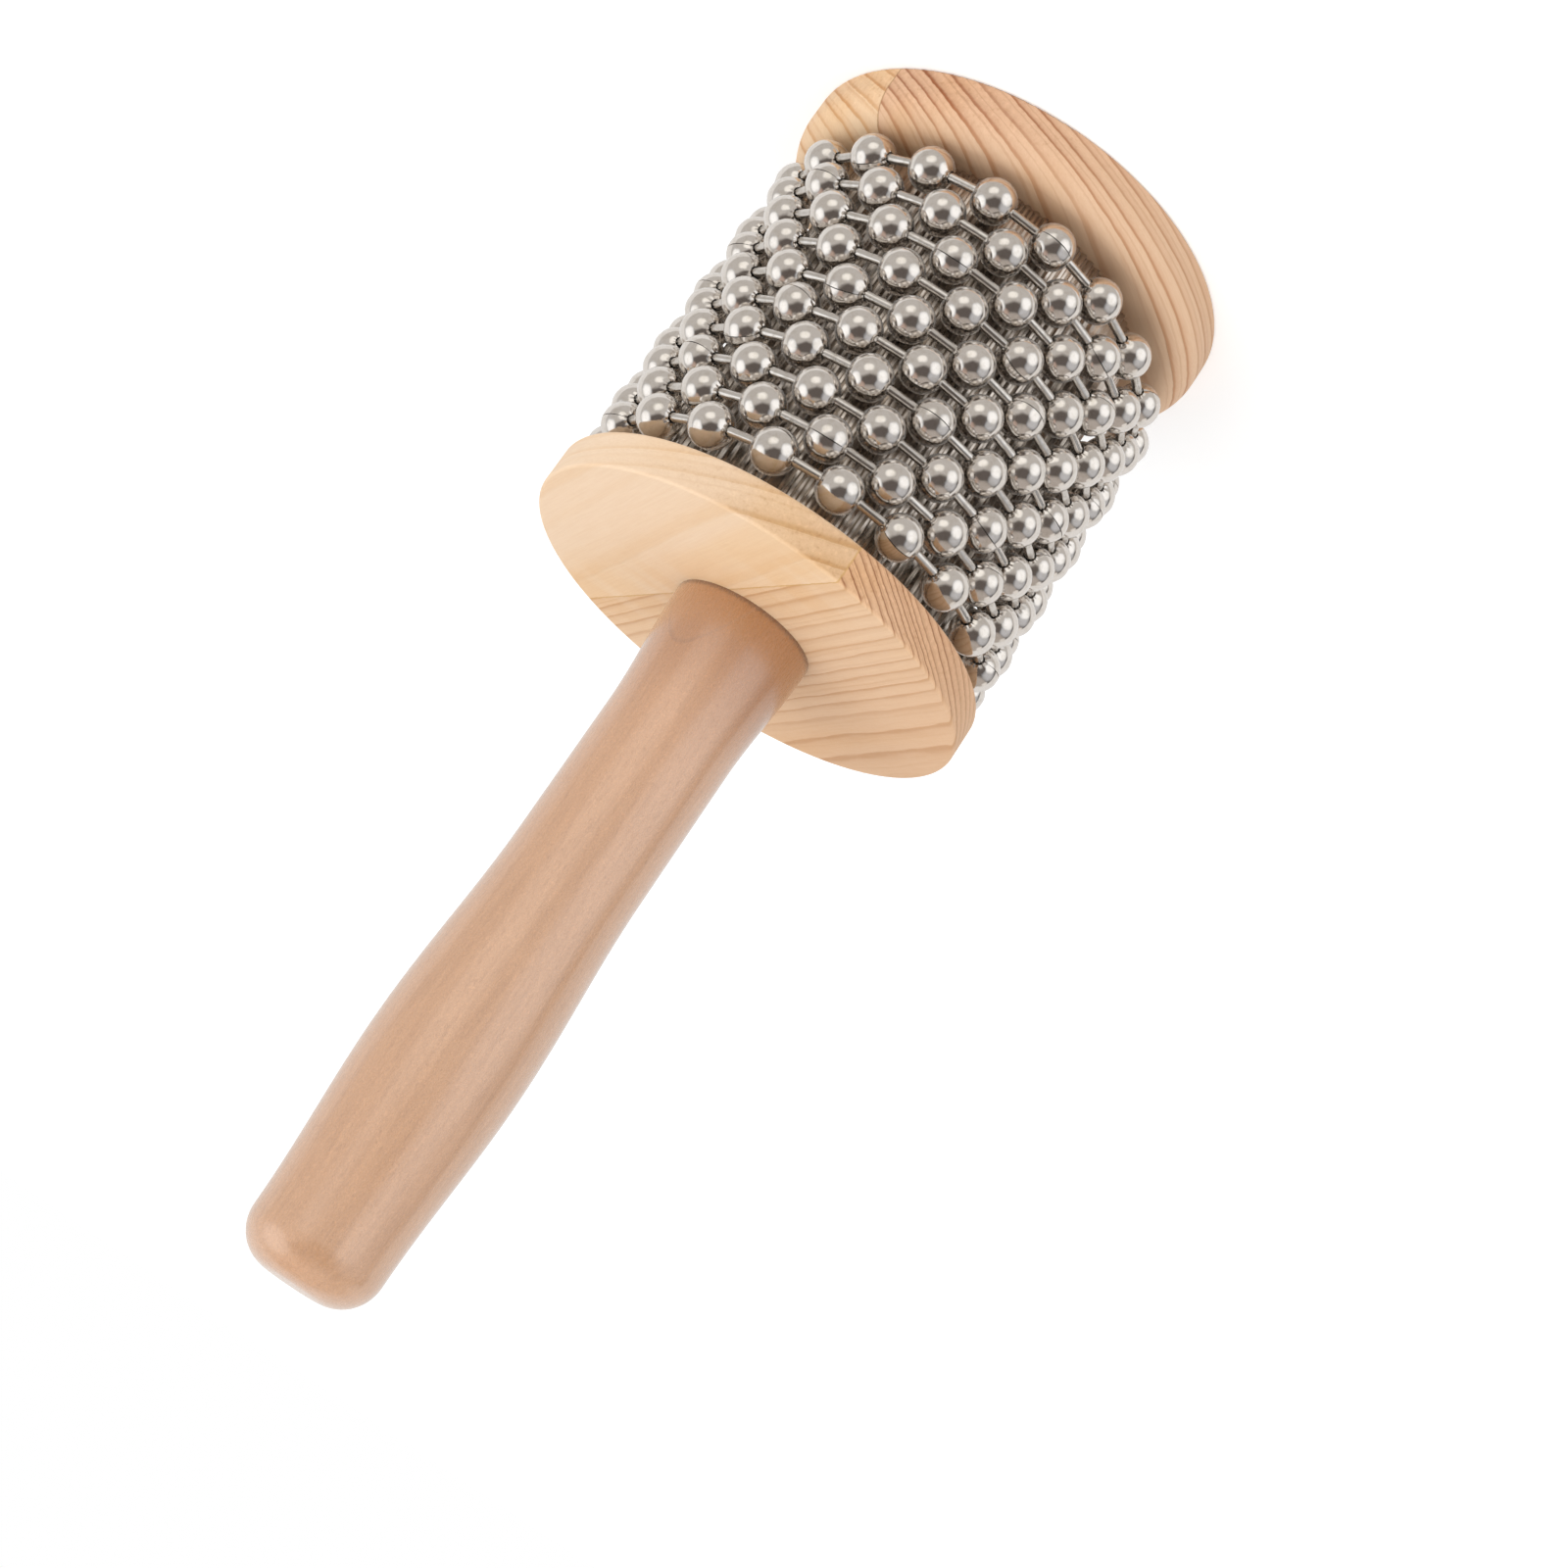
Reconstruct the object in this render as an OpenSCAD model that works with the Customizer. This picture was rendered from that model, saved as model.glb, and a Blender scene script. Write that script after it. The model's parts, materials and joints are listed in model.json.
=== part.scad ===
// Cabasa: two wooden discs on a drum with a ribbed steel sleeve, a turned handle,
// and closed loops of steel ball chain that turn freely round the sleeve.
// Millimetres. The instrument stands on the flat outer face of its far disc,
// so the origin is the centre of that face and +Z runs along the drum to the handle.

/* [Wooden discs] */
// Diameter of both discs
disc_d = 70; // [66:1:90]
// Thickness of the disc that the handle meets
handle_disc_t = 6.2; // [5:0.1:10]
// Thickness of the disc at the far end
end_disc_t = 8.4; // [7:0.1:12]
// Radius turned on the far disc's inner edge
end_round_r = 4.6; // [2:0.1:6]
// Small round on the other edges of the discs
edge_ease_r = 0.5; // [0.3:0.1:0.8]

/* [Drum] */
// Free length of the drum between the discs
drum_len = 61.5; // [58:0.5:80]
// Diameter over the ribs of the steel sleeve
sleeve_d = 51.2; // [46:0.2:54]
// Thickness of the sleeve's sheet
sheet_t = 0.4; // [0.3:0.05:0.6]
// Depth of one rib
rib_depth = 0.5; // [0.3:0.05:0.7]
// Number of ribs round the sleeve
rib_count = 100; // [80:4:132]

/* [Chain loops] */
// Number of loops
loop_count = 10; // [10]
// Balls in one loop
ball_count = 19; // [16:1:20]
// Diameter of a ball
ball_d = 6.8; // [6.4:0.1:6.9]
// Sheet thickness of a ball
ball_wall = 0.3; // [0.2:0.05:0.35]
// Hole at each end of a ball
link_hole_d = 1.85; // [1.75:0.05:2]
// Diameter of a link's rod
link_d = 1.4; // [1.1:0.05:1.45]
// Diameter of the head that holds a link in its ball
link_head_d = 2.3; // [2.2:0.1:2.5]
// How far a loop can be pulled off the sleeve on one side
loop_slack = 2.4; // [1:0.1:4]
// Space between the first loop and the handle's disc
near_gap = 3.4; // [1.5:0.1:4.5]
// Space between the last loop and the far disc
far_gap = 3.5; // [3.2:0.1:7]

/* [Handle] */
// Length from the disc to the handle's end
handle_len = 110; // [95:1:140]
// Diameter where the handle meets the disc
root_d = 22; // [20:0.5:26]
// Diameter of the straight grip band
band_d = 19.8; // [17:0.2:22]
// Distance from the disc to the grip band
band_start = 20; // [14:1:24]
// Length of the grip band
band_len = 22; // [14:1:26]
// Largest diameter in the palm
palm_d = 22.4; // [20:0.2:26]
// Distance from the disc to the largest diameter
palm_at = 74; // [64:1:80]
// Diameter at the round end
butt_d = 20; // [16:0.5:22]
// Radius turned on the end
butt_round_r = 6; // [3:0.5:7.5]
// Diameter of the tenon that is glued into the drum
tenon_d = 14; // [10:0.5:16]
// Length of the tenon inside the drum's core
tenon_depth = 24; // [14:1:28]

/* [Fixings] */
// Diameter of a wood screw's shank
screw_d = 3.5; // [3:0.1:4]
// Length of a wood screw
screw_len = 26; // [20:1:28]
// Diameter of a countersunk head
screw_head_d = 7; // [6:0.1:8]
// Distance from the centre to a screw
screw_at = 14; // [12:0.5:17]
// Diameter of a tack's shank
tack_d = 0.9; // [0.7:0.1:1]
// Length of a tack under its head
tack_len = 7; // [5:0.5:9]
// Diameter of a tack's head
tack_head_d = 2; // [1.8:0.1:2.2]

/* [Hidden] */
$fn = 64;

// Clearances and the overrun of every cut
glue_gap = 0.1;
sleeve_play = 0.05;
hole_play = 0.05;
link_play = 0.12;
seat_gap = 0.35;
overrun = 1;

// Small parts
seam_flat_w = 5;
seam_slit_w = 0.5;
ball_slit_w = 0.14;
tack_head_t = 0.3;
tack_tip_len = 1.4;
tack_count = 4;
tack_edge = 6;
screw_count = 2;
screw_tip_len = 5;
recess_w = 0.9;
recess_span = 4;
recess_depth = 1.5;
screw_sink = 0.3;

// Stations across the handle
root_steps = 10;
palm_steps = 14;
butt_steps = 8;

// Heights on the drum's axis
core_z = end_disc_t;
drum_top_z = core_z + drum_len;
handle_z = drum_top_z + handle_disc_t;

// Radii
disc_r = disc_d / 2;
sleeve_r = sleeve_d / 2;
valley_r = sleeve_r - rib_depth;
core_r = valley_r - sheet_t - sleeve_play;
ball_r = ball_d / 2;
bore_r = ball_r - ball_wall;
hole_r = link_hole_d / 2;
loop_r = sleeve_r + loop_slack + ball_r;

// One pitch of a loop, and the angle from a ball to the middle of its hole
pitch_a = 360 / ball_count;
hole_reach = sqrt(pow(ball_r - ball_wall / 2, 2) - pow(hole_r, 2));
hole_a = atan(hole_reach / loop_r);
hole_orbit = sqrt(pow(loop_r, 2) + pow(hole_reach, 2));
half_gap_a = pitch_a / 2 - hole_a;

// A link runs straight from hole to hole, and its heads lie inside the balls
link_orbit = hole_orbit * cos(half_gap_a);
link_span = 2 * hole_orbit * sin(half_gap_a);
head_inset = hole_reach - (bore_r - link_head_d / 2 - link_play);
head_span = link_span + 2 * head_inset;

// How the loops hang: pulled to one side until they touch the sleeve on the other,
// level beside the handle's disc and more askew from row to row towards the far disc
hang_a = 99;
hang = loop_slack - seat_gap;
tilt_a = 141;
far_tilt = 4.6;
first_ball_a = 5.1;
row_pitch = (drum_len - near_gap - far_gap - ball_d) / (loop_count - 1);

// Small strays of the rows, as shares of the row pitch and of the ball pitch
stray_shares = [-0.03, 0, 0.01, 0, 0.01, 0.05, 0.01, 0, 0, -0.03];
turn_shares = [0, 0, 0, 0.01, 0, 0, -0.01, -0.01, -0.01, 0];

// Each ball has rolled to its own place on its links, by the golden angle
golden_a = 137.5;
row_roll_a = 61;

// The seam of the sleeve lies at the back, in a plain strip between the first rib and the last
seam_a = 90;
plain_steps = 8;
plain_a = 2 * asin(seam_flat_w / 2 / sleeve_r);
rib_a = (360 - plain_a) / rib_count;

function ease(t) = (1 - cos(180 * t)) / 2;
function blend(a, b, t) = a + (b - a) * ease(t);
function row_z(k) = drum_top_z - near_gap - ball_r - (k - stray_shares[k]) * row_pitch;
function row_tilt(k) = far_tilt * k / (loop_count - 1);
function row_turn(k) = first_ball_a + (k % 2 / 2 + turn_shares[k]) * pitch_a;
function on_circle(r, a) = [r * cos(a), r * sin(a)];

// Outline of the handle from the disc to the round end
handle_outline = concat(
    [[0, 0]],
    [for (i = [0:root_steps]) [blend(root_d, band_d, i / root_steps) / 2, band_start * i / root_steps]],
    [for (i = [0:palm_steps]) [blend(band_d, palm_d, i / palm_steps) / 2,
        band_start + band_len + (palm_at - band_start - band_len) * i / palm_steps]],
    [for (i = [1:palm_steps]) [blend(palm_d, butt_d, i / palm_steps) / 2,
        palm_at + (handle_len - butt_round_r - palm_at) * i / palm_steps]],
    [for (i = [1:butt_steps]) [butt_d / 2 - butt_round_r + butt_round_r * cos(90 * i / butt_steps),
        handle_len - butt_round_r + butt_round_r * sin(90 * i / butt_steps)]],
    [[0, handle_len]]);

// A turned disc, with its own round at the lower and the upper edge
module turned_disc(r, t, low_round, high_round) {
    rotate_extrude()
    intersection() {
        square([r, t]);
        union() {
            translate([0, low_round]) square([r, t - low_round - high_round]);
            translate([0, low_round]) square([r - high_round, t - low_round]);
            square([r - low_round, t - high_round]);
            translate([r - low_round, low_round]) circle(r = low_round);
            translate([r - high_round, t - high_round]) circle(r = high_round);
        }
    }
}

// The handle and the tenon that holds the whole drum on it
module handle() {
    color("burlywood")
    translate([0, 0, handle_z]) {
        rotate_extrude() polygon(handle_outline);
        translate([0, 0, -handle_disc_t - tenon_depth])
        cylinder(h = handle_disc_t + tenon_depth + edge_ease_r, d = tenon_d);
    }
}

module handle_disc() {
    color("wheat")
    translate([0, 0, drum_top_z])
    difference() {
        turned_disc(disc_r, handle_disc_t, edge_ease_r, edge_ease_r);
        translate([0, 0, -overrun])
        cylinder(h = handle_disc_t + 2 * overrun, d = tenon_d + 2 * glue_gap);
    }
}

module at_screws() {
    for (i = [0:screw_count - 1]) rotate([0, 0, 360 * i / screw_count]) translate([screw_at, 0, 0]) children();
}

module end_disc() {
    color("wheat")
    difference() {
        turned_disc(disc_r, end_disc_t, edge_ease_r, end_round_r);
        at_screws() {
            translate([0, 0, -overrun])
            cylinder(h = end_disc_t + 2 * overrun, d = screw_d + 2 * glue_gap);
            screw_sink_cut();
        }
    }
}

// Countersink, with the head set a little below the face
module screw_sink_cut() {
    rim_r = screw_head_d / 2 + glue_gap;
    translate([0, 0, -overrun]) cylinder(h = screw_sink + overrun, r = rim_r);
    translate([0, 0, screw_sink])
    cylinder(h = (screw_head_d - screw_d) / 2, r1 = rim_r, r2 = screw_d / 2 + glue_gap);
}

module wood_screw() {
    cone_h = (screw_head_d - screw_d) / 2;
    difference() {
        union() {
            cylinder(h = cone_h, d1 = screw_head_d, d2 = screw_d);
            cylinder(h = screw_len - screw_tip_len, d = screw_d);
            translate([0, 0, screw_len - screw_tip_len])
            cylinder(h = screw_tip_len, d1 = screw_d, d2 = screw_d / 8);
        }
        for (a = [0, 90]) rotate([0, 0, a])
            translate([-recess_span / 2, -recess_w / 2, -overrun])
            cube([recess_span, recess_w, recess_depth + overrun]);
    }
}

module end_screws() {
    color("silver")
    at_screws() translate([0, 0, screw_sink]) wood_screw();
}

// Two rows of tacks, one on each side of the sleeve's seam
module at_tacks() {
    reach = (seam_flat_w + seam_slit_w) / 4;
    pitch = (drum_len - 2 * tack_edge) / (tack_count - 1);
    for (i = [0:tack_count - 1], side = [-1, 1])
        translate([0, 0, core_z + tack_edge + i * pitch])
        rotate([0, 0, seam_a + side * asin(reach / valley_r)])
        translate([valley_r + hole_play, 0, 0])
        rotate([0, 90, 0])
        children();
}

module sleeve_tacks() {
    color("silver")
    at_tacks() {
        cylinder(h = tack_head_t, d = tack_head_d);
        translate([0, 0, tack_tip_len - tack_len]) cylinder(h = tack_len - tack_tip_len, d = tack_d);
        translate([0, 0, -tack_len]) cylinder(h = tack_tip_len, d1 = tack_d / 8, d2 = tack_d);
    }
}

module tack_holes() {
    at_tacks()
    translate([0, 0, -tack_len - hole_play])
    cylinder(h = tack_len + overrun, d = tack_d + 2 * hole_play);
}

module drum_core() {
    color("burlywood")
    difference() {
        translate([0, 0, core_z]) cylinder(h = drum_len, r = core_r);
        translate([0, 0, drum_top_z - tenon_depth - glue_gap])
        cylinder(h = tenon_depth + glue_gap + overrun, d = tenon_d + 2 * glue_gap);
        at_screws()
        translate([0, 0, core_z - overrun])
        cylinder(h = screw_sink + screw_len - core_z + glue_gap + overrun, d = screw_d + 2 * glue_gap);
        tack_holes();
    }
}

// Cross-section of the ribbed sheet, plain beside the seam
module sheet_outline(inset) {
    crest = sleeve_r - inset;
    valley = valley_r - inset;
    ribs_from = seam_a + plain_a / 2;
    polygon(concat(
        [for (i = [0:rib_count - 1], s = [0:3])
            on_circle(s == 1 || s == 2 ? crest : valley, ribs_from + (i + s / 4) * rib_a)],
        [for (i = [0:plain_steps]) on_circle(valley, seam_a - plain_a / 2 + plain_a * i / plain_steps)]));
}

module ribbed_sleeve() {
    color("silver")
    translate([0, 0, core_z + sleeve_play])
    difference() {
        linear_extrude(drum_len - 2 * sleeve_play)
        difference() {
            sheet_outline(0);
            sheet_outline(sheet_t);
        }
        rotate([0, 0, seam_a])
        translate([0, -seam_slit_w / 2, -overrun])
        cube([disc_r, seam_slit_w, drum_len + 2 * overrun]);
        translate([0, 0, -core_z - sleeve_play]) tack_holes();
    }
}

// A ball is a hollow shell, rolled from sheet: the slit runs from hole to hole
module chain_ball() {
    difference() {
        sphere(r = ball_r);
        sphere(r = bore_r);
        cylinder(h = ball_d + 2 * overrun, r = hole_r, center = true);
        translate([0, -ball_slit_w / 2, -ball_r - overrun])
        cube([ball_r + overrun, ball_slit_w, ball_d + 2 * overrun]);
    }
}

// A link is a rod with a round head at each end, captive in its two balls
module chain_link() {
    cylinder(h = head_span, d = link_d, center = true);
    for (end = [-1, 1]) translate([0, 0, end * head_span / 2]) sphere(d = link_head_d);
}

// Carries its children to where loop k hangs on the sleeve
module on_loop(k) {
    translate([hang * cos(hang_a), hang * sin(hang_a), row_z(k)])
    rotate([0, 0, tilt_a])
    rotate([0, -row_tilt(k), 0])
    rotate([0, 0, row_turn(k) - tilt_a])
    children();
}

module loop_balls(k) {
    color("lightgray")
    on_loop(k)
    for (i = [0:ball_count - 1])
        rotate([0, 0, i * pitch_a])
        translate([loop_r, 0, 0])
        rotate([90, 0, 0])
        rotate([0, 0, i * golden_a + k * row_roll_a])
        chain_ball();
}

module loop_links(k) {
    color("silver")
    on_loop(k)
    for (i = [0:ball_count - 1])
        rotate([0, 0, (i + 1 / 2) * pitch_a])
        translate([link_orbit, 0, 0])
        rotate([90, 0, 0])
        chain_link();
}

handle();
handle_disc();
end_disc();
drum_core();
ribbed_sleeve();
sleeve_tacks();
end_screws();
loop_balls(0);  // chain_01_balls
loop_links(0);  // chain_01_links
loop_balls(1);  // chain_02_balls
loop_links(1);  // chain_02_links
loop_balls(2);  // chain_03_balls
loop_links(2);  // chain_03_links
loop_balls(3);  // chain_04_balls
loop_links(3);  // chain_04_links
loop_balls(4);  // chain_05_balls
loop_links(4);  // chain_05_links
loop_balls(5);  // chain_06_balls
loop_links(5);  // chain_06_links
loop_balls(6);  // chain_07_balls
loop_links(6);  // chain_07_links
loop_balls(7);  // chain_08_balls
loop_links(7);  // chain_08_links
loop_balls(8);  // chain_09_balls
loop_links(8);  // chain_09_links
loop_balls(9);  // chain_10_balls
loop_links(9);  // chain_10_links
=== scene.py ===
"""The looks of a cabasa, built round its packed construction.

Two turned pine discs hold a drum with a ribbed steel sleeve. A turned handle
carries the drum, and ten loops of steel ball chain hang loosely round it.
Lengths are in metres, in the frame of the construction.
"""

from __future__ import annotations

import json
import logging
import math
from dataclasses import dataclass, field
from enum import Enum
from typing import Iterable, Sequence, Union

import bmesh
import bpy
from bpy.types import Material, Mesh, Node, NodeSocket, NodeTree, Object
from mathutils import Matrix, Vector


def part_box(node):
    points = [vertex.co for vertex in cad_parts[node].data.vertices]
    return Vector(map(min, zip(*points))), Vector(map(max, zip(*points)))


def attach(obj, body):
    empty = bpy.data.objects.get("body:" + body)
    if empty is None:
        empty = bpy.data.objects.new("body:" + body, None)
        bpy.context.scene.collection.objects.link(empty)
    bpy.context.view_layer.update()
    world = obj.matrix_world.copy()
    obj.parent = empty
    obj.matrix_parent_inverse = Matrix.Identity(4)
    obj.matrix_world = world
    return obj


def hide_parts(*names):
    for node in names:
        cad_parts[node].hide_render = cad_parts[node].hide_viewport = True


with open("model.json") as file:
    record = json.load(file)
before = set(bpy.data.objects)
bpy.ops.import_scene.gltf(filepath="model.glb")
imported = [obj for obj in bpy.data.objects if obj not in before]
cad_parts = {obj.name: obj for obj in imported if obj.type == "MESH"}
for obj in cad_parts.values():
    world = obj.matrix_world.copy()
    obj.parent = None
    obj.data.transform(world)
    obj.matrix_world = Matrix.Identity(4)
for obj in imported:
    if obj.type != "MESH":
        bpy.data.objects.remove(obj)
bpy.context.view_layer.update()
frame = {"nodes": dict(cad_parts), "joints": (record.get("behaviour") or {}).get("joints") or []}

LOG = logging.getLogger("cabasa")
MM = 0.001
FULL_TURN = 2 * math.pi
QUARTER_TURN = math.pi / 2
RIGID_BODY = "frame"

Colour = tuple[float, float, float]
Triple = tuple[float, float, float]
Station = tuple[float, float]  # Radius and height
Source = Union[NodeSocket, float, Sequence[float]]

WHITE: Colour = (1.0, 1.0, 1.0)


class Ray(Enum):
    """The kinds of ray that the studio answers in their own way."""

    CAMERA = "Is Camera Ray"
    GLOSSY = "Is Glossy Ray"
    TRANSMISSION = "Is Transmission Ray"


class NodeWeb:
    """A node tree in the making, with one short method for each kind of node."""

    def __init__(self, tree: NodeTree) -> None:
        """Empties the tree.

        Args:
            tree: The node tree of a material or of the world.
        """
        self.tree = tree
        tree.nodes.clear()

    def node(self, kind: str, **settings: object) -> Node:
        """Adds a node.

        Args:
            kind: Blender's name for the type of node.
            settings: Properties of the node and their values.

        Returns:
            The new node.
        """
        made = self.tree.nodes.new(kind)
        for name, value in settings.items():
            setattr(made, name, value)
        return made

    def feed(self, socket: NodeSocket, source: Source) -> None:
        """Links a socket to an output, or gives it a plain value.

        Args:
            socket: The input that is fed.
            source: An output socket, a number or a tuple of numbers.
        """
        if isinstance(source, NodeSocket):
            self.tree.links.new(source, socket)
        else:
            socket.default_value = source

    def math(self, operation: str, *sources: Source) -> NodeSocket:
        """Adds a Math node.

        Args:
            operation: Blender's name for the operation.
            sources: Its inputs, in order.

        Returns:
            The result.
        """
        made = self.node("ShaderNodeMath", operation=operation)
        for socket, source in zip(made.inputs, sources):
            self.feed(socket, source)
        return made.outputs[0]

    def vector(self, operation: str, *sources: Source) -> NodeSocket:
        """Adds a Vector Math node.

        Args:
            operation: Blender's name for the operation.
            sources: Its inputs, in order.

        Returns:
            The result, a number for LENGTH and DOT_PRODUCT and a vector otherwise.
        """
        made = self.node("ShaderNodeVectorMath", operation=operation)
        for socket, source in zip(made.inputs, sources):
            self.feed(socket, source)
        scalar = operation in ("LENGTH", "DOT_PRODUCT")
        return made.outputs["Value" if scalar else "Vector"]

    def step(self, value: Source, low: float, high: float,
             to_low: float = 0.0, to_high: float = 1.0) -> NodeSocket:
        """Adds a smooth step.

        Args:
            value: What is mapped.
            low: Where the step starts.
            high: Where the step ends.
            to_low: The result below the step.
            to_high: The result above the step.

        Returns:
            The mapped value.
        """
        made = self.node("ShaderNodeMapRange", interpolation_type="SMOOTHSTEP")
        for name, source in (("Value", value), ("From Min", low), ("From Max", high),
                             ("To Min", to_low), ("To Max", to_high)):
            self.feed(made.inputs[name], source)
        return made.outputs[0]

    def mix(self, share: Source, first: Source, second: Source,
            blend: str = "MIX") -> NodeSocket:
        """Mixes two colours.

        Args:
            share: The share of the second colour.
            first: The colour at share 0.
            second: The colour at share 1.
            blend: Blender's name for the way of mixing.

        Returns:
            The mixed colour.
        """
        made = self.node("ShaderNodeMix", data_type="RGBA", blend_type=blend)
        for socket, source in ((made.inputs[0], share), (made.inputs[6], first), (made.inputs[7], second)):
            if isinstance(source, tuple):
                source = (*source, 1.0)
            self.feed(socket, source)
        return made.outputs[2]

    def tint(self, share: Source, colour: Source, factor: Source) -> NodeSocket:
        """Multiplies a share of a colour.

        Args:
            share: How much of the colour is multiplied.
            colour: The colour.
            factor: What it is multiplied by.

        Returns:
            The tinted colour.
        """
        return self.mix(share, colour, self.mix(1.0, colour, factor, "MULTIPLY"))

    def noise(self, place: NodeSocket, scale: float, detail: float = 2.0,
              rough: float = 0.5) -> NodeSocket:
        """Adds a Noise Texture.

        Args:
            place: The coordinates it reads.
            scale: Its features per unit of the coordinates.
            detail: Its octaves.
            rough: How much the finer octaves count.

        Returns:
            A value that averages a half.
        """
        made = self.node("ShaderNodeTexNoise")
        for name, source in (("Vector", place), ("Scale", scale), ("Detail", detail), ("Roughness", rough)):
            self.feed(made.inputs[name], source)
        return made.outputs[0]

    def grain(self, place: NodeSocket, scale: Triple, detail: float = 2.0,
              rough: float = 0.5) -> NodeSocket:
        """Adds a Noise Texture that is drawn out along an axis.

        Args:
            place: The coordinates it reads.
            scale: Its features per unit along each axis.
            detail: Its octaves.
            rough: How much the finer octaves count.

        Returns:
            A value that averages a half.
        """
        return self.noise(self.turned(place, scale=scale), 1.0, detail, rough)

    def turned(self, place: NodeSocket, turn: Triple = (0.0, 0.0, 0.0),
               shift: Triple = (0.0, 0.0, 0.0), scale: Triple = (1.0, 1.0, 1.0)) -> NodeSocket:
        """Scales, turns and then shifts coordinates.

        Args:
            place: The coordinates.
            turn: The turn about X, Y and Z, in radians.
            shift: The shift, added last.
            scale: The scale along each axis, applied first.

        Returns:
            The new coordinates.
        """
        made = self.node("ShaderNodeMapping", vector_type="POINT")
        for name, source in (("Vector", place), ("Location", shift), ("Rotation", turn), ("Scale", scale)):
            self.feed(made.inputs[name], source)
        return made.outputs[0]

    def place(self) -> NodeSocket:
        """Returns the object's own coordinates, in millimetres."""
        metres = self.node("ShaderNodeTexCoord").outputs["Object"]
        return self.turned(metres, scale=(1 / MM, 1 / MM, 1 / MM))

    def bump(self, height: NodeSocket, depth: float) -> NodeSocket:
        """Adds a Bump node.

        Args:
            height: The relief, from 0 to 1.
            depth: The relief's full height in metres.

        Returns:
            The changed normal.
        """
        made = self.node("ShaderNodeBump")
        self.feed(made.inputs["Height"], height)
        self.feed(made.inputs["Distance"], depth)
        return made.outputs[0]


def new_material(name: str) -> tuple[Material, NodeWeb, Node]:
    """Starts a material with one Principled shader.

    Args:
        name: The material's name.

    Returns:
        The material, the web of its nodes, and the shader.
    """
    material = bpy.data.materials.new(name)
    material.use_nodes = True
    web = NodeWeb(material.node_tree)
    shader = web.node("ShaderNodeBsdfPrincipled")
    output = web.node("ShaderNodeOutputMaterial")
    web.feed(output.inputs["Surface"], shader.outputs[0])
    return material, web, shader


# Noise of the pine: features per millimetre along the fibres and twice across them
PINE_SWAY = (0.012, 0.05, 0.05)
PINE_JITTER = (0.1, 0.7, 0.7)
PINE_FIBRE = (0.16, 3.6, 3.6)
PINE_TONE = (0.01, 0.09, 0.09)
PINE_TORN = (0.5, 1.3, 1.3)
PINE_RESIN = (0.02, 0.22, 0.22)
# What the pine's colour is multiplied by
GOLDEN = (0.97, 0.88, 0.72)
STREAK = (0.80, 0.66, 0.52)
PIT = (0.72, 0.58, 0.46)
TUFT = (1.14, 1.17, 1.2)
# Late wood: depth of its pale halo, and shares of the year at which halo and core are full and both fade
HALO = 0.35
HALO_FULL = 0.82
CORE_FROM, CORE_FULL = 0.72, 0.88
LATE_FADES = 0.94
# Noise of the handle's wood: features per millimetre, drawn out along its axis
HANDLE_WANDER = (0.09, 0.09, 0.012)
HANDLE_GRAIN = (1.6, 1.6, 0.10)
HANDLE_PORE = (2.8, 2.8, 0.8)
SPECK = (1.25, 1.22, 1.2)


@dataclass(frozen=True)
class PineBoard:
    """One board of a disc, as it lay in the trunk.

    Its rings are circles round the pith, which runs along the fibres.

    Attributes:
        fibre_deg: Direction of the fibres in the disc's plane.
        pith_across: Place of the pith across the fibres.
        pith_height: Height of the pith in the instrument's frame.
        ring_pitch: Mean width of a year's ring.
        rings: Radii at which years end, where they are uneven; beyond them the mean width holds.
        late_from: Share of a ring after which the wood darkens.
        heart: Factor on the colour of the wood nearest the pith.
        heart_from: Distance from the pith up to which that factor holds in full.
        heart_to: Distance from the pith at which it ends.
        early: Colour of the spring wood.
        late: Colour of the late wood.
        end_early: Colour of the spring wood on end grain.
        end_late: Colour of the late wood on end grain.
    """

    fibre_deg: float
    pith_across: float
    pith_height: float
    ring_pitch: float
    rings: tuple[float, ...] = ()
    late_from: float = 0.62
    heart: Colour = (1.0, 1.0, 1.0)
    heart_from: float = 0.0
    heart_to: float = 1.0 * MM
    early: Colour = (0.86, 0.60, 0.37)
    late: Colour = (0.66, 0.36, 0.17)
    end_early: Colour = (0.74, 0.44, 0.24)
    end_late: Colour = (0.36, 0.14, 0.055)


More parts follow.
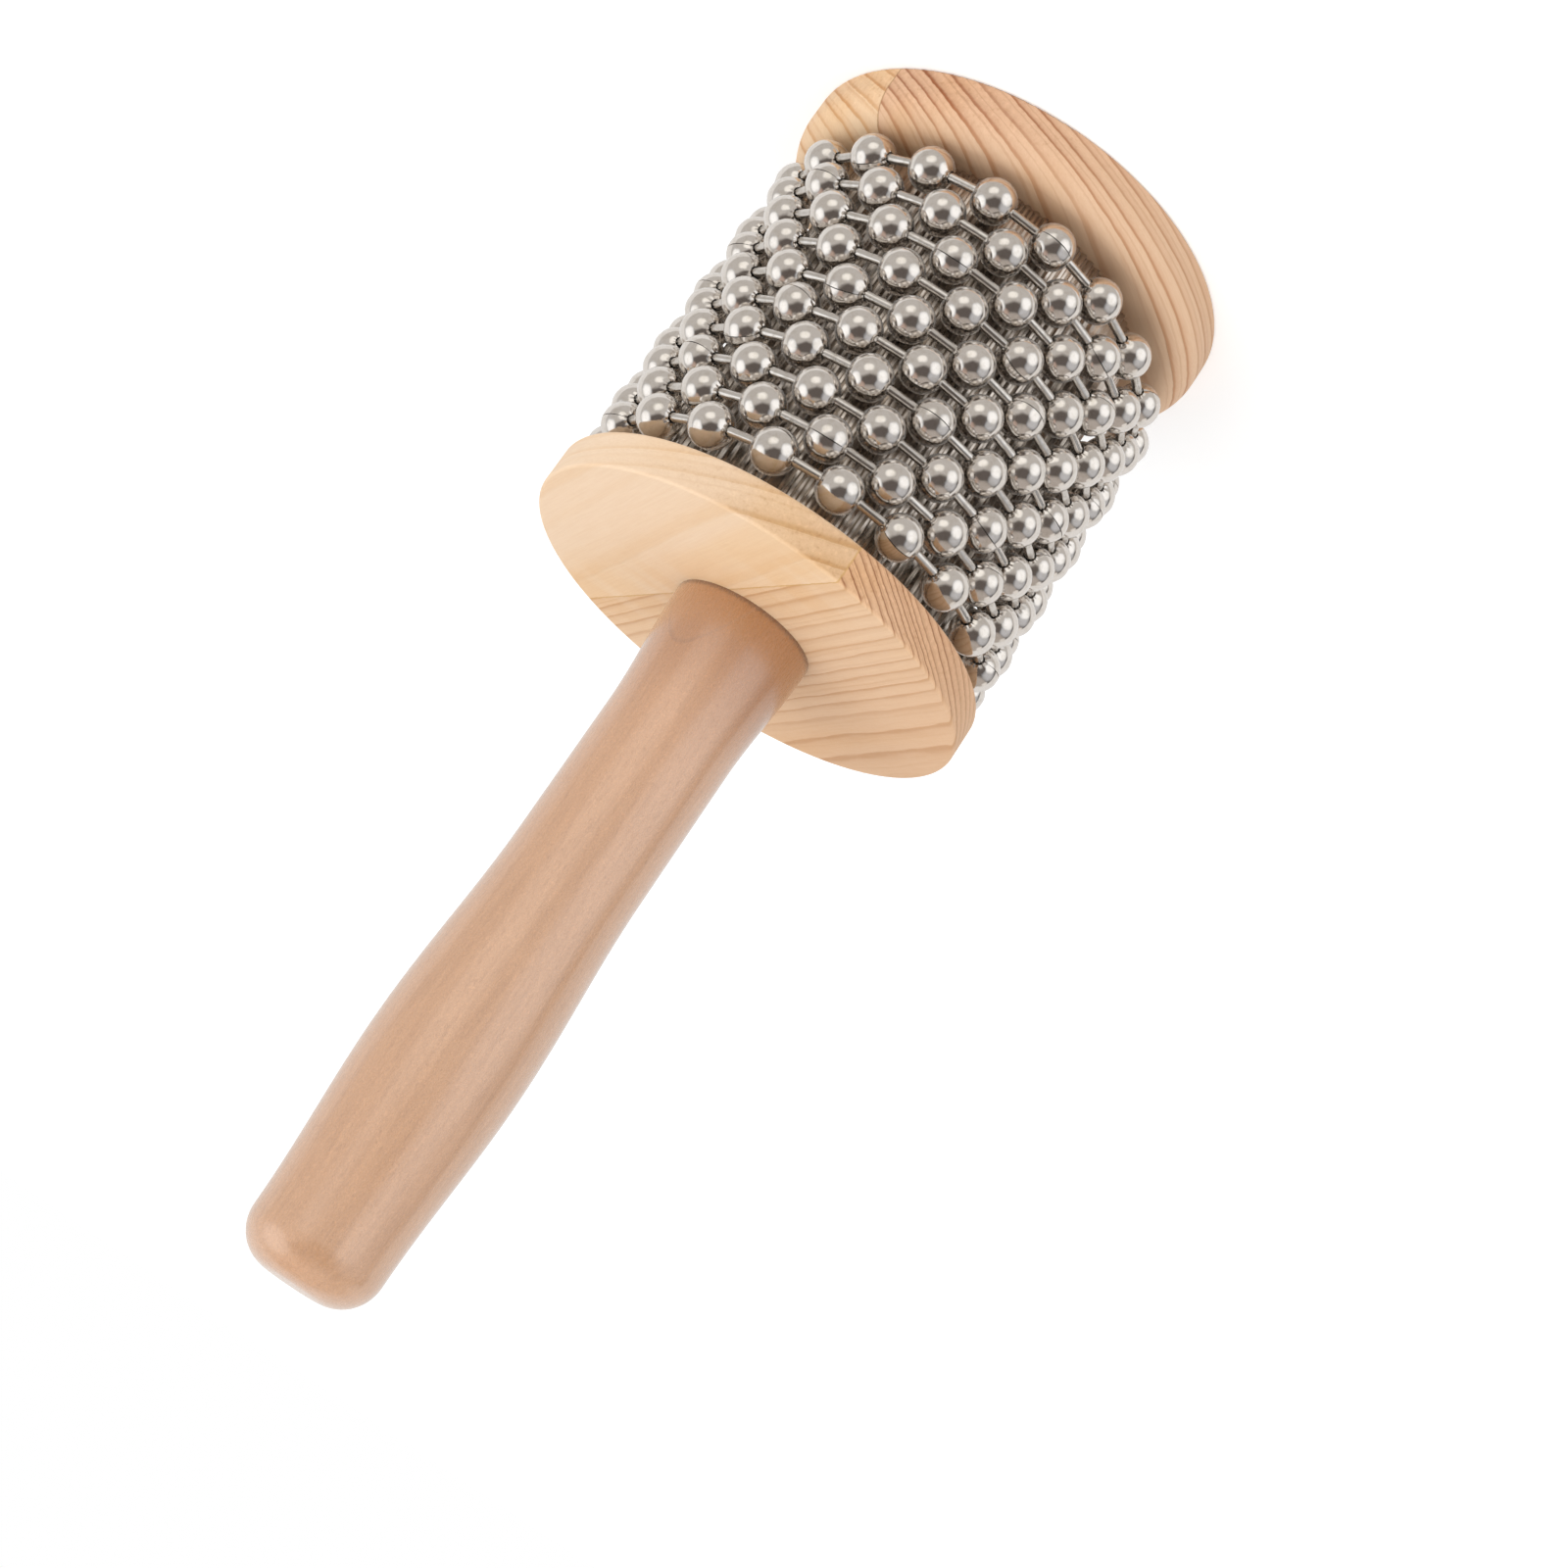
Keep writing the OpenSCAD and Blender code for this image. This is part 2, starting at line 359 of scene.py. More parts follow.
@dataclass(frozen=True)
class PineFinish:
    """Sanded pine, glued up from two boards, with rings that run through the solid.

    Attributes:
        name: The material's name.
        near_board: The board on the positive side of the glue line.
        far_board: The board on its other side.
        glue_deg: Direction of the glue line in the disc's plane.
        glue_across: Place of the glue line, to the right of its direction.
        glue_width: Width of the glue line.
        glue: Colour of the glue line.
        sway: How far the rings sway from true circles.
        jitter: How far their edges run unevenly.
        ridge: Height of the late wood over the early wood.
        fuzz: Height of the raised fibres.
        tearing: Height of the torn end grain.
        resin: Factor on the colour beside the glue line, where the wood holds resin.
        resin_reach: How far the resin reaches from the glue line.
    """

    name: str
    near_board: PineBoard
    far_board: PineBoard
    glue_deg: float
    glue_across: float
    glue_width: float = 0.22 * MM
    glue: Colour = (0.42, 0.21, 0.09)
    sway: float = 0.4 * MM
    jitter: float = 0.3 * MM
    ridge: float = 0.04 * MM
    fuzz: float = 0.03 * MM
    tearing: float = 0.15 * MM
    resin: Colour = (1.0, 1.0, 1.0)
    resin_reach: float = 12 * MM

    def _year(self, web: NodeWeb, radius: NodeSocket, board: PineBoard) -> NodeSocket:
        """Counts the years from the pith, in steps of one at each ring's edge.

        Args:
            web: The material's nodes.
            radius: Distance from the pith in millimetres.
            board: The board.

        Returns:
            The number of years.
        """
        pitch = board.ring_pitch / MM
        if not board.rings:
            return web.math("DIVIDE", radius, pitch)
        first, last = board.rings[0] / MM, board.rings[-1] / MM
        ramp = web.node("ShaderNodeValToRGB")
        stops = ramp.color_ramp.elements
        years = len(board.rings) - 1
        for i, ring in enumerate(board.rings):
            share = (ring / MM - first) / (last - first)
            stop = stops.new(share) if 0 < i < years else stops[0 if i == 0 else len(stops) - 1]
            stop.position = share
            stop.color = (i / years, i / years, i / years, 1.0)
        kept = web.math("MINIMUM", web.math("MAXIMUM", radius, first), last)
        web.feed(ramp.inputs[0], web.math("DIVIDE", web.math("SUBTRACT", kept, first), last - first))
        beyond = web.math("DIVIDE", web.math("SUBTRACT", radius, kept), pitch)
        return web.math("MULTIPLY_ADD", ramp.outputs[0], float(years), beyond)

    def _board(self, web: NodeWeb, place: NodeSocket, normal: NodeSocket,
               board: PineBoard) -> tuple[NodeSocket, NodeSocket]:
        """Draws one board's rings and fibres.

        Args:
            web: The material's nodes.
            place: Coordinates in millimetres.
            normal: The surface's direction.
            board: The board.

        Returns:
            Its colour, and its relief from 0 to 1.
        """
        turn = math.radians(board.fibre_deg)
        shift = (0.0, board.pith_across / MM, -board.pith_height / MM)
        lying = web.turned(place, (0.0, 0.0, -turn), shift)
        slow = web.grain(lying, PINE_SWAY)
        swayed = web.math("MULTIPLY_ADD", slow, 2 * self.sway / MM, -self.sway / MM)
        radius = web.vector("LENGTH", web.vector("MULTIPLY", lying, (0.0, 1.0, 1.0)))
        fine = web.grain(lying, PINE_JITTER)
        reach = web.math("ADD", radius, web.math("MULTIPLY_ADD", fine, self.jitter / MM, swayed))
        year = self._year(web, reach, board)
        phase = web.math("FRACT", year)
        chance = web.node("ShaderNodeTexWhiteNoise", noise_dimensions="1D")
        web.feed(chance.inputs["W"], web.math("FLOOR", year))
        rise = web.math("ADD", web.step(phase, board.late_from, HALO_FULL, 0.0, HALO),
                        web.step(phase, CORE_FROM, CORE_FULL, 0.0, 1 - HALO))
        line = web.math("MULTIPLY", rise, web.step(phase, LATE_FADES, 1.0, 1.0, 0.0))
        weight = web.math("MULTIPLY_ADD", chance.outputs[0], 0.4, 0.6)
        hair = web.node("ShaderNodeTexNoise", noise_dimensions="1D")
        for name, source in (("W", reach), ("Scale", 3 * MM / board.ring_pitch), ("Detail", 3.0)):
            web.feed(hair.inputs[name], source)
        hairs = web.step(hair.outputs[0], 0.5, 0.72, 0.0, 0.3)
        late = web.math("MAXIMUM", web.math("MULTIPLY", line, weight), hairs)
        along = (math.cos(turn), math.sin(turn), 0.0)
        end = web.math("POWER", web.math("ABSOLUTE", web.vector("DOT_PRODUCT", normal, along)), 2.5)
        fibre = web.grain(lying, PINE_FIBRE, 3.0, 0.6)
        tone = web.grain(lying, PINE_TONE)
        early = web.mix(end, board.early, board.end_early)
        dark = web.mix(end, board.late, board.end_late)
        strong = web.math("MULTIPLY", late, web.math("MULTIPLY_ADD", end, 0.25, 0.75))
        colour = web.mix(strong, early, dark)
        colour = web.tint(web.step(tone, 0.45, 0.75, 0.0, 0.55), colour, GOLDEN)
        colour = web.tint(web.step(fibre, 0.3, 0.7, 0.0, 0.16), colour, STREAK)
        heart = web.step(radius, board.heart_from / MM, board.heart_to / MM, 1.0, 0.0)
        colour = web.tint(heart, colour, board.heart)
        torn = web.grain(lying, PINE_TORN, 3.0, 0.65)
        pits = web.math("MULTIPLY", end, web.step(torn, 0.24, 0.48, 0.55, 0.0))
        colour = web.tint(pits, colour, PIT)
        tufts = web.math("MULTIPLY", end, web.step(torn, 0.52, 0.72, 0.0, 0.75))
        colour = web.tint(tufts, colour, TUFT)
        relief = web.math("MULTIPLY_ADD", fibre, self.fuzz / self.ridge, late)
        torn_end = web.math("MULTIPLY", torn, end)
        return colour, web.math("MULTIPLY_ADD", torn_end, self.tearing / self.ridge, relief)

    def material(self) -> Material:
        """Makes the material.

        Returns:
            The material.
        """
        material, web, shader = new_material(self.name)
        normal = web.node("ShaderNodeTexCoord").outputs["Normal"]
        place = web.place()
        near, near_relief = self._board(web, place, normal, self.near_board)
        far, far_relief = self._board(web, place, normal, self.far_board)
        turn = math.radians(self.glue_deg)
        across = web.vector("DOT_PRODUCT", place, (math.sin(turn), -math.cos(turn), 0.0))
        ragged = web.noise(place, 1.4, 3.0)
        across = web.math("MULTIPLY_ADD", ragged, 0.3, across)
        side = web.math("GREATER_THAN", across, self.glue_across / MM)
        colour = web.mix(side, far, near)
        gap = web.math("ABSOLUTE", web.math("SUBTRACT", across, self.glue_across / MM))
        cloud = web.noise(web.turned(place, (0.0, 0.0, -turn), scale=PINE_RESIN), 1.0)
        soaked = web.math("MULTIPLY", web.step(gap, 0.0, self.resin_reach / MM, 1.0, 0.0),
                          web.step(cloud, 0.3, 0.6, 0.3, 1.0))
        colour = web.tint(soaked, colour, self.resin)
        seam = web.step(gap, 0.0, self.glue_width / MM, 0.75, 0.0)
        colour = web.mix(seam, colour, self.glue)
        web.feed(shader.inputs["Base Color"], colour)
        relief = web.math("ADD", web.math("MULTIPLY", side, near_relief),
                          web.math("MULTIPLY", web.math("SUBTRACT", 1.0, side), far_relief))
        web.feed(shader.inputs["Normal"], web.bump(relief, self.ridge))
        web.feed(shader.inputs["Roughness"], web.step(ragged, 0.2, 0.8, 0.5, 0.66))
        shader.inputs["Specular IOR Level"].default_value = 0.35
        return material


@dataclass(frozen=True)
class HandleFinish:
    """Close-grained hardwood with fine pores, browner where it meets the disc, partly from painted shade
    that is deepest on one side.

    Attributes:
        name: The material's name.
        light: Colour of most of the wood.
        dark: Colour of the rings.
        brown_with_painted_shade: Colour beside the disc, partly the wood's own browner tint and partly
            painted shade.
        shadow: Colour of the painted shade in the crack at the disc.
        lean_deg: How far the rings lean from the handle's axis.
        pith: Place of the pith beside the axis.
        ring_pitch: Width of a year's ring.
        disc_face: Height of the disc's face.
        brown_shade_reach: How far the brown tint and painted shade reach from the disc.
        painted_shade_side: Direction of the side on which the painted shade is deepest.
        figure_tip: Height of the tip of the arch that one ring draws beside the disc.
        figure_deg: Bearing of that tip about the axis.
        figure_half: Radians from the tip at which the arch has dropped by a millimetre.
        pore_depth: Depth of the pores.
    """

    name: str
    disc_face: float
    light: Colour = (0.63, 0.347, 0.187)
    dark: Colour = (0.40, 0.20, 0.10)
    brown_with_painted_shade: Colour = (0.395, 0.17, 0.06)
    shadow: Colour = (0.15, 0.065, 0.03)
    lean_deg: float = 3.2
    pith: Triple = (6.0 * MM, -34.0 * MM, 0.0)
    ring_pitch: float = 3.4 * MM
    brown_shade_reach: float = 30 * MM
    painted_shade_side: Triple = (-0.62, -0.78, 0.0)
    figure_tip: float = 86 * MM
    figure_deg: float = -52
    figure_half: float = 0.224
    pore_depth: float = 0.09 * MM

    def material(self) -> Material:
        """Makes the material.

        Returns:
            The material.
        """
        material, web, shader = new_material(self.name)
        place = web.place()
        lean = (math.radians(self.lean_deg), 0.0, 0.0)
        leaning = web.turned(place, lean, tuple(-c / MM for c in self.pith))
        wander = web.grain(leaning, HANDLE_WANDER)
        radius = web.vector("LENGTH", web.vector("MULTIPLY", leaning, (1.0, 1.0, 0.0)))
        year = web.math("DIVIDE", web.math("MULTIPLY_ADD", wander, 3.0, radius), self.ring_pitch / MM)
        phase = web.math("FRACT", year)
        line = web.math("MULTIPLY", web.step(phase, 0.7, 0.95), web.step(phase, 0.96, 1.0, 1.0, 0.0))
        grain = web.grain(place, HANDLE_GRAIN, 3.0, 0.6)
        pore = web.grain(place, HANDLE_PORE, 3.0, 0.7)
        speck = web.noise(place, 3.4, 1.0)
        colour = web.mix(web.math("MULTIPLY", line, 0.1), self.light, self.dark)
        parts = web.node("ShaderNodeSeparateXYZ")
        web.feed(parts.inputs[0], place)
        east, north, height = parts.outputs
        # Painted shade: the brown beside the disc is partly the wood's own tint and partly painted shade,
        # deepest on one side.
        near = web.step(web.math("MULTIPLY_ADD", wander, 10.0, height),
                        self.disc_face / MM + 6, (self.disc_face + self.brown_shade_reach) / MM, 1.0, 0.0)
        shady = web.step(web.vector("DOT_PRODUCT", place, self.painted_shade_side), -6.0, 9.0, 0.6, 1.0)
        colour = web.mix(web.math("MULTIPLY", near, shady), colour, self.brown_with_painted_shade)
        bearing = web.math("SUBTRACT", web.math("ARCTAN2", north, east), math.radians(self.figure_deg))
        arch = web.math("POWER", web.math("ABSOLUTE", web.math("DIVIDE", bearing, self.figure_half)), 2.0)
        figure = web.math("ADD", web.math("SUBTRACT", height, self.figure_tip / MM),
                          web.math("MULTIPLY_ADD", wander, 3.0, arch))
        drawn = web.math("MULTIPLY", web.step(figure, 0.6, 1.45, 0.0, 0.8),
                         web.step(figure, 1.5, 1.85, 1.0, 0.0))
        colour = web.mix(drawn, colour, self.dark)
        colour = web.mix(web.step(grain, 0.35, 0.75, 0.0, 0.3), colour, self.dark)
        colour = web.mix(web.step(pore, 0.52, 0.75, 0.0, 0.45), colour, self.dark)
        colour = web.tint(web.step(speck, 0.5, 0.8, 0.0, 0.6), colour, SPECK)
        # Painted shade: a dark ragged line where the handle meets the disc.
        crack_painted_shade = web.step(web.math("MULTIPLY_ADD", speck, -0.9, height),
                         self.disc_face / MM - 0.3, self.disc_face / MM + 0.5, 0.85, 0.0)
        colour = web.mix(crack_painted_shade, colour, self.shadow)
        web.feed(shader.inputs["Base Color"], colour)
        web.feed(shader.inputs["Roughness"], web.step(pore, 0.35, 0.65, 0.2, 0.42))
        shader.inputs["Coat Weight"].default_value = 1.0
        shader.inputs["Coat Roughness"].default_value = 0.2
        shader.inputs["Coat IOR"].default_value = 1.85
        web.feed(shader.inputs["Normal"], web.bump(pore, self.pore_depth))
        shader.inputs["Specular IOR Level"].default_value = 1.0
        return material


@dataclass(frozen=True)
class SteelFinish:
    """Plated or bare steel, with faint waves and a little wear.

    Attributes:
        name: The material's name.
        bright: Colour of clean metal.
        dull: Colour of handled metal.
        smooth: Least roughness.
        rough: Most roughness.
        wave_pitch: Width of the waves in the sheet.
        wave_depth: Depth of the waves.
        stretch: How the wear is drawn out along each axis.
        haze: Share of the steel that dust and fine scratches make matt where it is seen edge on.
    """

    name: str
    bright: Colour
    dull: Colour
    smooth: float
    rough: float
    wave_pitch: float
    wave_depth: float
    stretch: Triple = (1.0, 1.0, 1.0)
    haze: float = 0.0

    def material(self) -> Material:
        """Makes the material.

        Returns:
            The material.
        """
        material, web, shader = new_material(self.name)
        place = web.place()
        wear = web.noise(web.turned(place, scale=self.stretch), 0.9, 3.0, 0.6)
        web.feed(shader.inputs["Base Color"], web.mix(web.step(wear, 0.4, 0.75), self.bright, self.dull))
        web.feed(shader.inputs["Roughness"], web.step(wear, 0.35, 0.7, self.smooth, self.rough))
        waves = web.noise(place, MM / self.wave_pitch, 2.0)
        web.feed(shader.inputs["Normal"], web.bump(waves, self.wave_depth))
        edge_on = web.node("ShaderNodeLayerWeight").outputs["Facing"]
        web.feed(shader.inputs["Metallic"], web.step(edge_on, 0.45, 0.85, 1.0, 1.0 - self.haze))
        return material


def finished_piece(name: str, work: bmesh.types.BMesh, material: Material, body: str,
                   replaced: Iterable[str], sharp_deg: float) -> Object:
    """Turns a finished bmesh into a piece that rides on a body.

    Args:
        name: The piece's name.
        work: The bmesh, which is freed.
        material: Its material.
        body: The body that it moves with.
        replaced: The nodes that it stands for.
        sharp_deg: Edges sharper than this stay crisp.

    Returns:
        The piece.
    """
    bmesh.ops.recalc_face_normals(work, faces=work.faces)
    mesh = bpy.data.meshes.new(name)
    work.to_mesh(mesh)
    work.free()
    mesh.materials.append(material)
    mesh.polygons.foreach_set("use_smooth", [True] * len(mesh.polygons))
    mesh.set_sharp_from_angle(angle=math.radians(sharp_deg))
    piece = bpy.data.objects.new(name, mesh)
    bpy.context.scene.collection.objects.link(piece)
    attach(piece, body)
    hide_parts(*replaced)
    LOG.info("%s: %d faces on body %s", name, len(mesh.polygons), body)
    return piece


def dress_node(name: str, material: Material) -> None:
    """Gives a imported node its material.

    Args:
        name: The node's name.
        material: Its material.
    """
    node = frame["nodes"][name]
    node.material_slots[0].material = material
    LOG.info("%s: packed node, %d faces", name, len(node.data.polygons))


def ease(share: float) -> float:
    """Returns a smooth rise from 0 to 1 as share goes from 0 to 1."""
    return (1 - math.cos(math.pi * share)) / 2


@dataclass
class Handle:
    """The turned handle, with the tenon that holds the drum.

    Attributes:
        root_r: Radius at the disc.
        band_r: Radius of the straight grip band.
        palm_r: Largest radius, in the palm.
        butt_r: Radius beside the round end.
        round_r: Radius of the round end's edge.
        tenon_r: Radius of the tenon.
        band_start: Distance from the disc to the band.
        band_len: Length of the band.
        palm_at: Distance from the disc to the largest radius.
        steps: Stations along each eased stretch.
        sides: Faces round the handle.
        foot: Height of the tenon's end.
        tip: Height of the handle's round end.
        face: Height of the disc's outer face.
    """

    root_r: float = 11.0 * MM
    band_r: float = 9.9 * MM
    palm_r: float = 11.2 * MM
    butt_r: float = 10.0 * MM
    round_r: float = 6.0 * MM
    tenon_r: float = 7.0 * MM
    band_start: float = 20 * MM
    band_len: float = 22 * MM
    palm_at: float = 74 * MM
    steps: int = 14
    sides: int = 96
    foot: float = field(default_factory=lambda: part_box("handle")[0].z)
    tip: float = field(default_factory=lambda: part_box("handle")[1].z)
    face: float = field(default_factory=lambda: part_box("handle_disc")[1].z)

    def outline(self) -> list[Station]:
        """Returns the outline from the tenon's end to the round tip, both on the axis."""
        band_z = self.face + self.band_start
        band_top = band_z + self.band_len
        palm_z = self.face + self.palm_at
        round_z = self.tip - self.round_r
        shares = [i / self.steps for i in range(1, self.steps + 1)]
        points = [(0.0, self.foot), (self.tenon_r, self.foot), (self.tenon_r, self.face),
                  (self.root_r, self.face)]
        stations = [(self.root_r, self.face), (self.band_r, band_z), (self.band_r, band_top),
                    (self.palm_r, palm_z), (self.butt_r, round_z)]
        for (low_r, low), (high_r, high) in zip(stations, stations[1:]):
            points += [(low_r + (high_r - low_r) * ease(s), low + (high - low) * s) for s in shares]
        middle = self.butt_r - self.round_r
        points += [(middle + self.round_r * math.cos(QUARTER_TURN * s),
                    round_z + self.round_r * math.sin(QUARTER_TURN * s)) for s in shares]
        return points + [(0.0, self.tip)]

    def build(self, material: Material) -> Object:
        """Turns the outline into the handle.

        Args:
            material: Its material.

        Returns:
            The piece.
        """
        work = bmesh.new()
        corners = [work.verts.new((radius, 0.0, height)) for radius, height in self.outline()]
        edges = [work.edges.new(pair) for pair in zip(corners, corners[1:])]
        bmesh.ops.spin(work, geom=corners + edges, cent=(0, 0, 0), axis=(0, 0, 1), angle=FULL_TURN,
                       steps=self.sides, use_merge=True)
        bmesh.ops.remove_doubles(work, verts=work.verts, dist=0.001 * MM)
        return finished_piece("turned_handle", work, material, RIGID_BODY, ["handle"], 30)


@dataclass
class ChainLoop:
    """One closed loop of ball chain, with hollow balls whose sheet is pleated round their holes.

    Attributes:
        number: The loop's number, from 1 beside the handle's disc.
        balls: Balls in the loop.
        ball_r: Radius of a ball.
        wall: Thickness of its sheet.
        hole_r: Radius of its holes.
        slit: Width of the seam from hole to hole.
        pleats: Pleats round a hole.
        pleat_depth: How far a pleat is pressed in.
        pleat_deg: How far the pleats reach from the hole's edge.
        sides: Faces round a ball.
        roll_deg: Turn from ball to ball about the chain.
        row_roll_deg: Turn from loop to loop about the chain.
    """

    number: int
    balls: int = 19
    ball_r: float = 3.4 * MM
    wall: float = 0.3 * MM
    hole_r: float = 0.925 * MM
    slit: float = 0.14 * MM
    pleats: int = 8
    pleat_depth: float = 0.16 * MM
    pleat_deg: float = 30.0
    sides: int = 32
    roll_deg: float = 137.5
    row_roll_deg: float = 61.0

    @property
    def body(self) -> str:
        """The body that carries the loop."""
        return f"loop_{self.number:02d}"

    def _rings(self) -> list[float]:
        """Returns the angles from the hole's axis at which the ball has a ring of corners."""
        edge = math.asin(self.hole_r / self.ball_r)
        reach = math.radians(self.pleat_deg)
        near = [edge + reach * share for share in (0.0, 0.14, 0.32, 0.6, 1.0)]
        middle = [near[-1] + (QUARTER_TURN - near[-1]) * share for share in (1 / 3, 2 / 3)]
        half = near + middle
        return half + [QUARTER_TURN] + [math.pi - angle for angle in reversed(half)]

    def ball(self) -> Mesh:
        """Shapes one ball with its holes on Z.

        Returns:
            The ball's mesh, at the origin.
        """
        work = bmesh.new()
        corners = [work.verts.new((self.ball_r * math.sin(a), 0.0, self.ball_r * math.cos(a)))
                   for a in self._rings()]
        edges = [work.edges.new(pair) for pair in zip(corners, corners[1:])]
        opening = self.slit / self.ball_r
        bmesh.ops.spin(work, geom=corners + edges, cent=(0, 0, 0), axis=(0, 0, 1),
                       angle=FULL_TURN - opening, steps=self.sides)
        edge = math.asin(self.hole_r / self.ball_r)
        reach = math.radians(self.pleat_deg)
        for vert in work.verts:
            spot = vert.co.copy()
            from_hole = math.acos(min(1.0, abs(spot.z) / self.ball_r)) - edge
            fade = max(0.0, 1 - from_hole / reach) ** 2
            fold = (1 + math.cos(self.pleats * math.atan2(spot.y, spot.x))) / 2
            vert.co = spot * (1 - self.pleat_depth * fade * fold / self.ball_r)
        bmesh.ops.recalc_face_normals(work, faces=work.faces)
        bmesh.ops.solidify(work, geom=work.faces, thickness=self.wall)
        mesh = bpy.data.meshes.new("ball")
        work.to_mesh(mesh)
        work.free()
        return mesh

    def _places(self) -> list[Matrix]:
        """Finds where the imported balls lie.

        Returns:
            The place of each ball, with its holes along the chain.
        """
        joint = next(j for j in frame["joints"] if j["child"] == self.body)
        centre = Matrix.Translation(Vector(joint["pos_m"]))
        tilt = Vector((0, 0, 1)).rotation_difference(Vector(joint["axis"])).to_matrix().to_4x4()
        to_loop = (centre @ tilt).inverted()
        corners = [to_loop @ v.co for v in frame["nodes"][f"chain_{self.number:02d}_balls"].data.vertices]
        reaches = [math.hypot(c.x, c.y) for c in corners]
        loop_r = (min(reaches) + max(reaches)) / 2
        turns = [math.atan2(c.y, c.x) * self.balls for c in corners]
        first = math.atan2(sum(map(math.sin, turns)), sum(map(math.cos, turns))) / self.balls
        places = []
        for i in range(self.balls):
            around = Matrix.Rotation(first + FULL_TURN * i / self.balls, 4, "Z")
            roll = math.radians(i * self.roll_deg + self.number * self.row_roll_deg)
            places.append(centre @ tilt @ around @ Matrix.Translation((loop_r, 0, 0))
                          @ Matrix.Rotation(QUARTER_TURN, 4, "X") @ Matrix.Rotation(roll, 4, "Z"))
        return places

    def build(self, ball: Mesh, material: Material) -> Object:
        """Strings the balls of this loop.

        Args:
            ball: One ball with its holes on Z.
            material: The balls' material.

        Returns:
            The piece.
        """
        work = bmesh.new()
        for place in self._places():
            before = len(work.verts)
            work.from_mesh(ball)
            work.verts.ensure_lookup_table()
            bmesh.ops.transform(work, matrix=place, verts=work.verts[before:])
        name = f"chain_{self.number:02d}_ball_shells"
        return finished_piece(name, work, material, self.body,
                              [f"chain_{self.number:02d}_balls"], 50)


@dataclass(frozen=True)
class PhotoCamera:
    """The camera at the photograph's viewing angle, with the axes of its picture.

    Attributes:
        place: Where the camera stands.
        aim: What the middle of the picture shows.
        roll_deg: How far the camera is rolled from level.
        lens: Focal length in millimetres.
        sensor: Width of the sensor in millimetres.
    """

    place: Triple = (0.14 * MM, -346.62 * MM, 205.62 * MM)
    aim: Triple = (-17.13 * MM, -0.86 * MM, 92.02 * MM)
    roll_deg: float = -146.33
    lens: float = 59.4
    sensor: float = 36.0

    def turn(self) -> Matrix:
        """Returns the camera's turn, which takes the picture's axes to the instrument's."""
        level = (Vector(self.aim) - Vector(self.place)).to_track_quat("-Z", "Y").to_matrix().to_4x4()
        return level @ Matrix.Rotation(math.radians(self.roll_deg), 4, "Z")

    def build(self) -> None:
        """Sets up the camera."""
        data = bpy.data.cameras.new("camera")
        data.lens = self.lens
        data.sensor_width = self.sensor
        data.clip_start = 10 * MM
        data.clip_end = 20.0
        camera = bpy.data.objects.new("camera", data)
        bpy.context.scene.collection.objects.link(camera)
        camera.location = self.place
        camera.rotation_mode = "QUATERNION"
        camera.rotation_quaternion = self.turn().to_quaternion()
        bpy.context.scene.camera = camera


@dataclass(frozen=True)
class SoftBox:
    """A soft light of the studio with rounded corners, as steel mirrors it.

    Attributes:
        towards: Direction from the object to its middle: right, up and near in the picture.
        wide_deg: Half angle of its width.
        high_deg: Half angle of its height.
        edge: Softness of its edges, as a share of its size.
        strength: Its brightness, where 1 is white.
        tint: Its colour.
        corner: How square it is, from 2 for an ellipse upward.
    """

    towards: Triple
    wide_deg: float
    high_deg: float
    edge: float
    strength: float
    tint: Colour = WHITE
    corner: float = 2.5

    def glow(self, web: NodeWeb, towards: NodeSocket, turn: Matrix) -> NodeSocket:
        """Draws the light on the sky.

        Args:
            web: The world's nodes.
            towards: The direction that is looked up.
            turn: Turn from the picture's axes to the world's.

        Returns:
            Its light in that direction.
        """
        middle = Vector(self.towards).normalized()
        across = Vector((0, 1, 0)).cross(middle).normalized()
        upward = middle.cross(across)
        near = web.vector("DOT_PRODUCT", towards, tuple(turn @ middle))
        squares = []
        for axis, half_deg in ((across, self.wide_deg), (upward, self.high_deg)):
            reach = web.math("DIVIDE", web.vector("DOT_PRODUCT", towards, tuple(turn @ axis)), near)
            share = web.math("DIVIDE", reach, math.tan(math.radians(half_deg)))
            squares.append(web.math("POWER", web.math("ABSOLUTE", share), self.corner))
        inside = web.step(web.math("ADD", *squares), 1 - self.edge, 1 + self.edge, 1.0, 0.0)
        mask = web.math("MULTIPLY", web.step(near, 0.03, 0.2), inside)
        return web.vector("MULTIPLY", mask, tuple(part * self.strength for part in self.tint))


@dataclass(frozen=True)
class Lamp:
    """A distant soft lamp.

    Attributes:
        name: The lamp's name.
        towards: Direction from the object to the lamp: right, up and near in the picture.
        spread_deg: How wide the lamp looks from the object.
        strength: Its power on a surface that faces it.
    """

    name: str
    towards: Triple
    spread_deg: float
    strength: float


